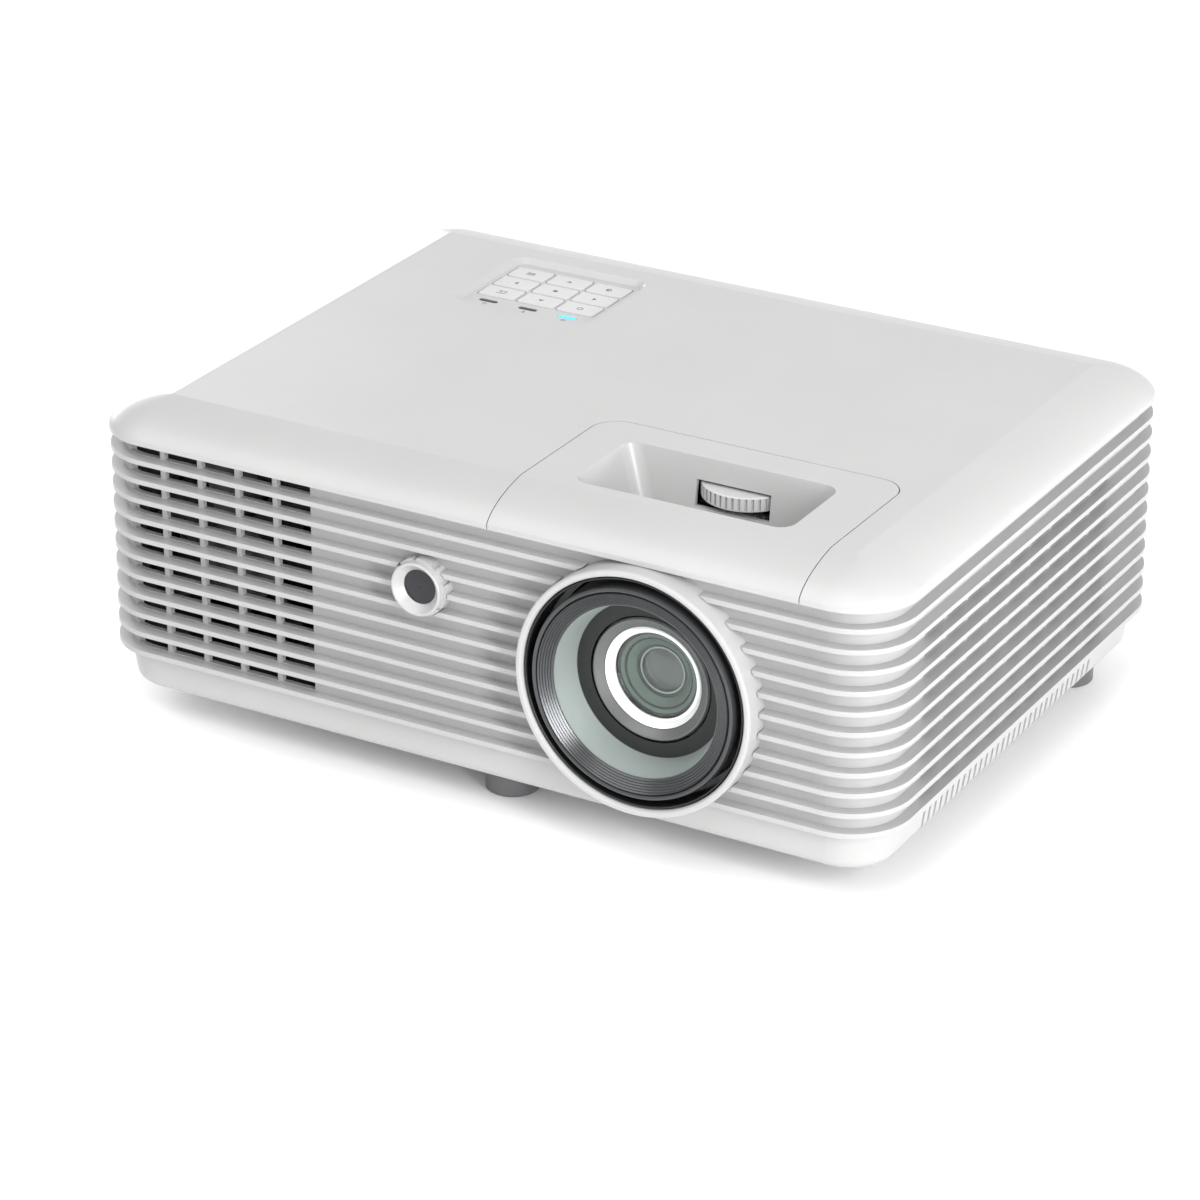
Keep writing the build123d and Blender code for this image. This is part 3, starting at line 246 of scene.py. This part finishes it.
WHITE = (0.455, 0.455, 0.453)
BLACK = (0.010, 0.010, 0.011)
RING_GREY = (0.085, 0.088, 0.092)
CONE_SILVER = (0.42, 0.47, 0.45)
# Green painted reflection of the coated lens glass, put into the inner barrel's bands.
PAINTED_REFLECTION_GREEN = (0.13, 0.185, 0.16)

FINISH = {
    "case_white": moulded("case_white_grain", WHITE, 0.36, 2200.0, 0.035, 0.3, coat=0.15),
    "case_grey": moulded("case_grille_grain", (0.43, 0.43, 0.43), 0.34, 2200.0, 0.03, 0.25, coat=0.15),
    "key_white": moulded("key_grain", (0.56, 0.56, 0.56), 0.42, 3000.0, 0.02, 0.2),
    "dark_knob": moulded("dark_knob_grain", (0.12, 0.12, 0.125), 0.35, 1800.0, 0.04, 0.3),
    "lens_black": moulded("lens_black_grain", BLACK, 0.5, 2600.0, 0.03, 0.4),
    "fan_black": moulded("fan_black_grain", (0.02, 0.02, 0.022), 0.42, 1600.0, 0.03, 0.3),
    "speaker_black": moulded("speaker_black_grain", (0.025, 0.025, 0.025), 0.6, 1600.0, 0.03, 0.4),
    "jack_black": moulded("jack_black_grain", (0.02, 0.02, 0.02), 0.3, 2600.0, 0.03, 0.2),
    "cap_sleeve": moulded("cap_sleeve_film", (0.03, 0.035, 0.09), 0.25, 900.0, 0.03, 0.1),
    "brass_gear": moulded("acetal_gear", (0.62, 0.60, 0.55), 0.38, 2000.0, 0.03, 0.2),
    "ir_black": moulded("ir_window_tint", (0.006, 0.005, 0.010), 0.09, 500.0, 0.005, 0.05, spec=0.6),
    "lamp_dark": moulded("lamp_dark_smoke", (0.008, 0.008, 0.009), 0.2, 900.0, 0.03, 0.05),
    "engine_metal": metal("die_cast_grey", (0.20, 0.21, 0.22), 0.5, (90.0, 90.0, 90.0), 0.4, 0.6),
    "aluminium": metal("extruded_aluminium", (0.62, 0.63, 0.64), 0.32, (600.0, 600.0, 20.0), 0.3),
    "steel": metal("zinc_steel", (0.55, 0.56, 0.58), 0.28, (240.0, 240.0, 60.0), 0.2),
    "socket_metal": metal("nickel_plate", (0.60, 0.60, 0.61), 0.24, (40.0, 500.0, 40.0), 0.2),
    "silver_trim": metal("turned_trim", (0.95, 0.95, 0.95), 0.30, (900.0, 30.0, 900.0), 0.1, 0.55),
    "core_copper": metal("wound_core", (0.36, 0.20, 0.09), 0.42, (30.0, 30.0, 900.0), 0.6, 0.5),
    "mirror_coat": metal("silvered_glass", (0.9, 0.9, 0.9), 0.06, (20.0, 20.0, 20.0), 0.02),
    "board_green": board("solder_mask", (0.02, 0.12, 0.055)),
    "coated_glass": glass("coated_lens_glass", (0.90, 0.98, 0.94)),
    "wheel_glass": glass("dichroic_glass", (0.95, 0.80, 0.35), 0.02, 1.5, 0.7),
    "focus_grey": banded("focus_ring_finish", [
        (28.3, BLACK, 0.0, 0.5),
        (31.0, CONE_SILVER, 0.7, 0.58),
        (40.0, RING_GREY, 0.7, 0.30),
    ]),
    "lamp_blue": lit("blue_light_pipe", (0.03, 0.42, 0.95), 1.6),
}
CELL_FINISH = banded("focus_cell_finish", [
    (18.6, (0.004, 0.004, 0.004), 0.0, 0.5),
    (25.0, (0.16, 0.165, 0.165), 0.6, 0.38),
])
# Inner barrel bands: its own dark and silver rings, and two green bands that are painted reflection of the
# coated glass.
STEPPED_BANDS_AND_PAINTED_REFLECTION = banded("inner_barrel_bands_and_painted_reflection", [
    (7.9, (0.02, 0.02, 0.025), 0.0, 0.3),
    (8.5, (0.42, 0.46, 0.46), 0.6, 0.3),
    (9.6, (0.03, 0.035, 0.035), 0.2, 0.35),
    (12.3, PAINTED_REFLECTION_GREEN, 0.1, 0.35),
    (12.95, (0.002, 0.002, 0.002), 0.0, 0.6),
    (14.3, PAINTED_REFLECTION_GREEN, 0.1, 0.35),
    (18.0, (0.006, 0.007, 0.007), 0.0, 0.5),
])
PUPIL_FINISH = moulded("dark_element_glass", (0.018, 0.016, 0.022), 0.05, 400.0, 0.004, 0.05,
                       coat=1.0, spec=0.8)
# Black grainy plastic: the dial housing's own colour, and painted shade on the sleeve inside the lens
# bezel.
PAINTED_SHADE_AND_BLACK_FINISH = moulded("painted_shade_and_black_grain", BLACK, 0.45, 2600.0, 0.03, 0.3)
INK = moulded("grey_ink", (0.13, 0.13, 0.135), 0.55, 3000.0, 0.01, 0.1)

for entry in frame["record"]["subparts"]:
    NODES[entry["node"]].data.materials[0] = FINISH[entry["material_slot"]]
NODES["focus_cell"].data.materials[0] = CELL_FINISH


# ------------------------------------------------------------------ piece tools
def finished(name, form, finish, body, smooth_angle=35.0):
    """A piece from a bmesh, smooth apart from its real edges, riding on its body."""
    bmesh.ops.recalc_face_normals(form, faces=form.faces)
    mesh = bpy.data.meshes.new(name)
    form.to_mesh(mesh)
    form.free()
    mesh.polygons.foreach_set("use_smooth", [True] * len(mesh.polygons))
    mesh.set_sharp_from_angle(angle=math.radians(smooth_angle))
    mesh.materials.append(finish)
    obj = bpy.data.objects.new(name, mesh)
    bpy.context.scene.collection.objects.link(obj)
    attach(obj, body)
    return obj


def lathe(form, profile, x, z, steps=160):
    """A closed ring turned about the line along Y through (x, z), from (y, radius) points in metres."""
    rows = []
    for step in range(steps):
        angle = 2 * math.pi * step / steps
        rows.append([form.verts.new((x + r * math.cos(angle), y, z + r * math.sin(angle)))
                     for y, r in profile])
    for row, following in zip(rows, rows[1:] + rows[:1]):
        for k in range(len(profile)):
            j = (k + 1) % len(profile)
            form.faces.new((row[k], row[j], following[j], following[k]))


def dome_disc(form, profile, x, z, steps=128):
    """A solid of revolution whose first and last profile points lie on the axis."""
    first = form.verts.new((x, profile[0][0], z))
    last = form.verts.new((x, profile[-1][0], z))
    rows = []
    for step in range(steps):
        angle = 2 * math.pi * step / steps
        rows.append([form.verts.new((x + r * math.cos(angle), y, z + r * math.sin(angle)))
                     for y, r in profile[1:-1]])
    for row, following in zip(rows, rows[1:] + rows[:1]):
        form.faces.new((first, row[0], following[0]))
        for k in range(len(row) - 1):
            form.faces.new((row[k], row[k + 1], following[k + 1], following[k]))
        form.faces.new((row[-1], last, following[-1]))


def prism(form, outline, low, high):
    """An upright prism over an outline of (x, y) points."""
    bottom = [form.verts.new((x, y, low)) for x, y in outline]
    top = [form.verts.new((x, y, high)) for x, y in outline]
    form.faces.new(top)
    form.faces.new(bottom[::-1])
    for k in range(len(outline)):
        j = (k + 1) % len(outline)
        form.faces.new((bottom[k], bottom[j], top[j], top[k]))


def arc_band(form, x, y, outer, inner, start, end, low, high, steps=28):
    """Part of a flat ring, from one angle in degrees to another."""
    angles = [math.radians(start + (end - start) * k / steps) for k in range(steps + 1)]
    outline = [(x + outer * math.cos(a), y + outer * math.sin(a)) for a in angles]
    outline += [(x + inner * math.cos(a), y + inner * math.sin(a)) for a in reversed(angles)]
    prism(form, outline, low, high)


def bar(form, x, y, half_x, half_y, low, high):
    prism(form, [(x - half_x, y - half_y), (x + half_x, y - half_y), (x + half_x, y + half_y),
                 (x - half_x, y + half_y)], low, high)


# ------------------------------------------------------------------ lens
ELEMENT_RIM = 15.5 * MM
ELEMENT_SAG = 0.95 * MM
ELEMENT_THICK = 0.8 * MM
ELEMENT_RINGS = 10
PUPIL_RADIUS = 7.8 * MM
PUPIL_SAG = 1.5 * MM
PUPIL_DEPTH = 5 * MM
PUPIL_RINGS = 8
# The inner barrel's steps: millimetres behind its front face, and radius in millimetres.
BARREL_STEPS = [
    (0.0, 17.2), (0.1, 15.2), (0.0, 15.0), (0.35, 12.95), (1.3, 12.9), (1.3, 12.4), (0.9, 12.3),
    (1.3, 11.4), (1.9, 10.4), (2.7, 9.6), (3.3, 9.5), (3.3, 9.1), (3.6, 9.0), (3.6, 8.6), (3.2, 8.5),
    (3.2, 8.0), (4.0, 7.85), (9.0, 7.85), (9.0, 17.2),
]


def lens_glass():
    """Front element, stepped inner barrel and dark inner element, in place of the plain lens solids."""
    front = RING_BACK - 0.8 * MM
    radii = [k * ELEMENT_RIM / ELEMENT_RINGS for k in range(1, ELEMENT_RINGS + 2)]
    shape = [(front + ELEMENT_SAG * (r / ELEMENT_RIM) ** 2, r) for r in radii]
    profile = [(front, 0.0), *shape]
    profile += [(y + ELEMENT_THICK, r) for y, r in reversed(shape)] + [(front + ELEMENT_THICK, 0.0)]
    form = bmesh.new()
    dome_disc(form, profile, LENS_X, LENS_Z)
    glass_piece = finished("front_element", form, FINISH["coated_glass"], "focus_group")
    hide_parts("focus_lenses")

    back = RING_BACK + 1.3 * MM
    form = bmesh.new()
    lathe(form, [(back + y * MM, r * MM) for y, r in BARREL_STEPS], LENS_X, LENS_Z)
    finished("inner_barrel", form, STEPPED_BANDS_AND_PAINTED_REFLECTION, "focus_group", 20.0)

    face = back + 2.6 * MM
    radii = [k * PUPIL_RADIUS / PUPIL_RINGS for k in range(1, PUPIL_RINGS + 1)]
    curve = [(face + PUPIL_SAG * (r / PUPIL_RADIUS) ** 2, r) for r in radii]
    profile = [(face, 0.0), *curve, (face + PUPIL_DEPTH, PUPIL_RADIUS), (face + PUPIL_DEPTH, 0.0)]
    form = bmesh.new()
    dome_disc(form, profile, LENS_X, LENS_Z)
    finished("inner_element", form, PUPIL_FINISH, "focus_group")


def bezel_painted_shade_sleeve():
    """Black sleeve inside the white lens bezel, a painted shade that darkens the gap round the focus ring.
    """
    outer = 41.35 * MM
    inner = 40.75 * MM
    front = BEZEL_FRONT + 1.3 * MM
    back = bezel_high.y - 5.0 * MM
    form = bmesh.new()
    lathe(form, [(front, outer), (front, inner + 0.15 * MM), (front + 0.2 * MM, inner), (back, inner),
                 (back, outer)], LENS_X, LENS_Z)
    finished("bezel_painted_shade_sleeve", form, PAINTED_SHADE_AND_BLACK_FINISH, "case")


# ------------------------------------------------------------------ keypad print
KEY_BODIES = ["key_menu", "key_up", "key_mode", "key_left", "key_enter", "key_right", "key_source",
              "key_down", "key_power"]
INK_HEIGHT = 0.05 * MM
INK_DEPTH = 0.01 * MM


def power_sign(form, x, y, size, low, high):
    arc_band(form, x, y, size, size * 0.78, 125, 415, low, high)
    bar(form, x, y + size * 0.62, size * 0.11, size * 0.5, low, high)


def arrow(form, x, y, turn, size, low, high):
    points = [(0.0, 0.6), (-0.9, -0.5), (0.9, -0.5)]
    angle = math.radians(turn)
    outline = [(x + size * (px * math.cos(angle) - py * math.sin(angle)),
                y + size * (px * math.sin(angle) + py * math.cos(angle))) for px, py in points]
    prism(form, outline, low, high)


def draw_sign(form, kind, x, y, low, high):
    arrows = {"key_up": 0, "key_left": 90, "key_down": 180, "key_right": 270}
    if kind in arrows:
        arrow(form, x, y, arrows[kind], 1.3 * MM, low, high)
    elif kind == "key_power":
        power_sign(form, x, y, 1.25 * MM, low, high)
    elif kind == "key_menu":
        for step in (-1, 0, 1):
            bar(form, x, y + step * 0.85 * MM, 1.7 * MM, 0.17 * MM, low, high)
    elif kind == "key_mode":
        arc_band(form, x, y, 1.15 * MM, 0.85 * MM, 0, 359, low, high)
        arc_band(form, x, y, 0.85 * MM, 0.05 * MM, 90, 270, low, high)
    elif kind == "key_enter":
        arc_band(form, x, y, 0.95 * MM, 0.05 * MM, 0, 359, low, high)
    elif kind == "key_source":
        for side in (-1, 1):
            bar(form, x, y + side * 1.1 * MM, 1.8 * MM, 0.14 * MM, low, high)
        bar(form, x + 1.66 * MM, y, 0.14 * MM, 1.24 * MM, low, high)
        arrow(form, x - 0.2 * MM, y, 270, 0.8 * MM, low, high)


def keypad_print():
    for body in KEY_BODIES:
        low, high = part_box(body)
        form = bmesh.new()
        draw_sign(form, body, (low.x + high.x) / 2, (low.y + high.y) / 2,
                  high.z - INK_DEPTH, high.z + INK_HEIGHT)
        finished(body + "_sign", form, INK, body)


def indicator_print():
    """Small signs in front of the three indicators: lamp, temperature and power."""
    lights_low, lights_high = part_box("status_lights")
    power_low, power_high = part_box("power_light")
    y = power_low.y - 2.3 * MM
    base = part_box("key_power")[1].z - 0.25 * MM
    low = base - INK_DEPTH
    high = base + INK_HEIGHT
    power_x = (power_low.x + power_high.x) / 2
    half_width = (power_high.x - power_low.x) / 2
    lamp_x = lights_low.x + half_width
    heat_x = lights_high.x - half_width
    form = bmesh.new()
    power_sign(form, power_x, y, 0.85 * MM, low, high)
    arc_band(form, lamp_x, y + 0.2 * MM, 0.75 * MM, 0.55 * MM, -60, 240, low, high)
    bar(form, lamp_x, y - 0.75 * MM, 0.35 * MM, 0.12 * MM, low, high)
    arc_band(form, heat_x, y - 0.45 * MM, 0.45 * MM, 0.03 * MM, 0, 359, low, high)
    bar(form, heat_x, y + 0.35 * MM, 0.16 * MM, 0.7 * MM, low, high)
    finished("indicator_signs", form, INK, "case")


# ------------------------------------------------------------------ zoom dial surround
def dial_shroud():
    """Black open-fronted housing round the zoom dial, behind the window of the finger pocket."""
    dial_low, dial_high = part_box("zoom_dial")
    mid_x = (dial_low.x + dial_high.x) / 2
    mid_y = (dial_low.y + dial_high.y) / 2
    half = (dial_high.x - dial_low.x) / 2 + 1.2 * MM
    wall = 0.6 * MM
    front = mid_y - 8.6 * MM
    back = mid_y + half
    low = dial_low.z - 2.6 * MM
    high = dial_high.z + 1.2 * MM
    form = bmesh.new()
    shaft = 2.6 * MM
    steps = 24
    hole = [(mid_x + shaft * math.cos(2 * math.pi * k / steps),
             mid_y + shaft * math.sin(2 * math.pi * k / steps)) for k in range(steps)]
    hair = 1e-9
    right = [p for p in hole if p[0] >= mid_x - hair]
    left = [p for p in hole if p[0] <= mid_x + hair]
    right.sort(key=lambda p: p[1])
    left.sort(key=lambda p: -p[1])
    prism(form, [(mid_x, front), (mid_x + half, front), (mid_x + half, back), (mid_x, back), *right[::-1]],
          low, low + wall)
    prism(form, [(mid_x, back), (mid_x - half, back), (mid_x - half, front), (mid_x, front), *left[::-1]],
          low, low + wall)
    prism(form, [(mid_x - half, front), (mid_x + half, front), (mid_x + half, back), (mid_x - half, back)],
          high, high + wall)
    for side in (-1, 1):
        x = mid_x + side * (half + wall / 2)
        bar(form, x, (front + back) / 2, wall / 2, (back - front) / 2, low, high + wall)
    bar(form, mid_x, back + wall / 2, half + wall, wall / 2, low, high + wall)
    finished("dial_shroud", form, PAINTED_SHADE_AND_BLACK_FINISH, "case")


lens_glass()
# The sleeve in the bezel is painted shade for the gap round the focus ring.
bezel_painted_shade_sleeve()
keypad_print()
indicator_print()
dial_shroud()


# ------------------------------------------------------------------ stage
def floor():
    """A pale floor that curves up into a backdrop."""
    near = -8.0
    far = 5.0
    bend = 2.0
    half = 9.0
    height = 7.0
    bend_steps = 12
    profile = [(near, 0.0), (far, 0.0)]
    for step in range(1, bend_steps + 1):
        angle = math.radians(90.0 * step / bend_steps)
        profile.append((far + bend * math.sin(angle), bend - bend * math.cos(angle)))
    profile.append((far + bend, height))
    form = bmesh.new()
    rows = [[form.verts.new((x, y, z)) for x in (-half, half)] for y, z in profile]
    for low, high in zip(rows, rows[1:]):
        form.faces.new((low[0], low[1], high[1], high[0]))
    mesh = bpy.data.meshes.new("floor")
    form.to_mesh(mesh)
    form.free()
    mesh.polygons.foreach_set("use_smooth", [True] * len(mesh.polygons))
    obj = bpy.data.objects.new("floor", mesh)
    bpy.context.scene.collection.objects.link(obj)
    mat, tree, shader = new_material("pale_floor")
    paint = ramp(tree, noise(tree, 3.0), [(0.3, (0.95, 0.95, 0.95)), (0.7, (0.96, 0.96, 0.96))])
    tree.links.new(paint, shader.inputs["Base Color"])
    shader.inputs["Roughness"].default_value = 0.6
    shader.inputs["Specular IOR Level"].default_value = 0.2
    mesh.materials.append(mat)


def aimed(name, data, place, aim):
    obj = bpy.data.objects.new(name, data)
    obj.location = place
    obj.rotation_euler = (Vector(aim) - Vector(place)).to_track_quat("-Z", "Y").to_euler()
    bpy.context.scene.collection.objects.link(obj)


def softbox(name, place, aim, width, height, power):
    data = bpy.data.lights.new(name, "AREA")
    data.shape = "RECTANGLE"
    data.size = width
    data.size_y = height
    data.energy = power
    aimed(name, data, place, aim)


def sun(name, place, strength, angle):
    data = bpy.data.lights.new(name, "SUN")
    data.energy = strength
    data.angle = math.radians(angle)
    aimed(name, data, place, (0, 0, 0))


CAMERA_PLACE = (0.70556, -1.26646, 0.71684)
CAMERA_AZIMUTH = 29.568
CAMERA_ELEVATION = 25.114
CAMERA_ROLL = 0.199
SENSOR_WIDTH = 36.0
FOCAL_LENGTH = 133.04


def camera():
    azimuth = math.radians(CAMERA_AZIMUTH)
    elevation = math.radians(CAMERA_ELEVATION)
    roll = math.radians(CAMERA_ROLL)
    back = Vector((math.sin(azimuth) * math.cos(elevation), -math.cos(azimuth) * math.cos(elevation),
                   math.sin(elevation)))
    level = Vector((math.cos(azimuth), math.sin(azimuth), 0.0))
    above = back.cross(level)
    right = math.cos(roll) * level + math.sin(roll) * above
    up = math.cos(roll) * above - math.sin(roll) * level
    turn = Matrix((right, up, back)).transposed().to_4x4()
    data = bpy.data.cameras.new("camera")
    data.sensor_width = SENSOR_WIDTH
    data.lens = FOCAL_LENGTH
    data.clip_end = 50.0
    obj = bpy.data.objects.new("camera", data)
    obj.matrix_world = Matrix.Translation(Vector(CAMERA_PLACE)) @ turn
    bpy.context.scene.collection.objects.link(obj)
    bpy.context.scene.camera = obj


def world(strength):
    scene_world = bpy.data.worlds.new("studio")
    scene_world.use_nodes = True
    sky = scene_world.node_tree.nodes["Background"]
    sky.inputs["Color"].default_value = (1.0, 1.0, 1.0, 1.0)
    sky.inputs["Strength"].default_value = strength
    bpy.context.scene.world = scene_world


floor()
camera()
world(0.75)
sun("key_above", (-0.4, -0.8, 1.6), 1.35, 60.0)
softbox("right_tall", (1.1, -0.68, 0.46), (0.06, -0.05, 0.07), 0.18, 0.9, 16.0)
softbox("left_low", (-1.3, 0.9, 0.30), (-0.1, 0, 0.08), 1.0, 0.25, 5.0)
softbox("right_back", (1.2, 1.0, 0.35), (0.1, 0, 0.08), 0.8, 0.2, 3.0)
bpy.context.scene.view_settings.view_transform = "Standard"
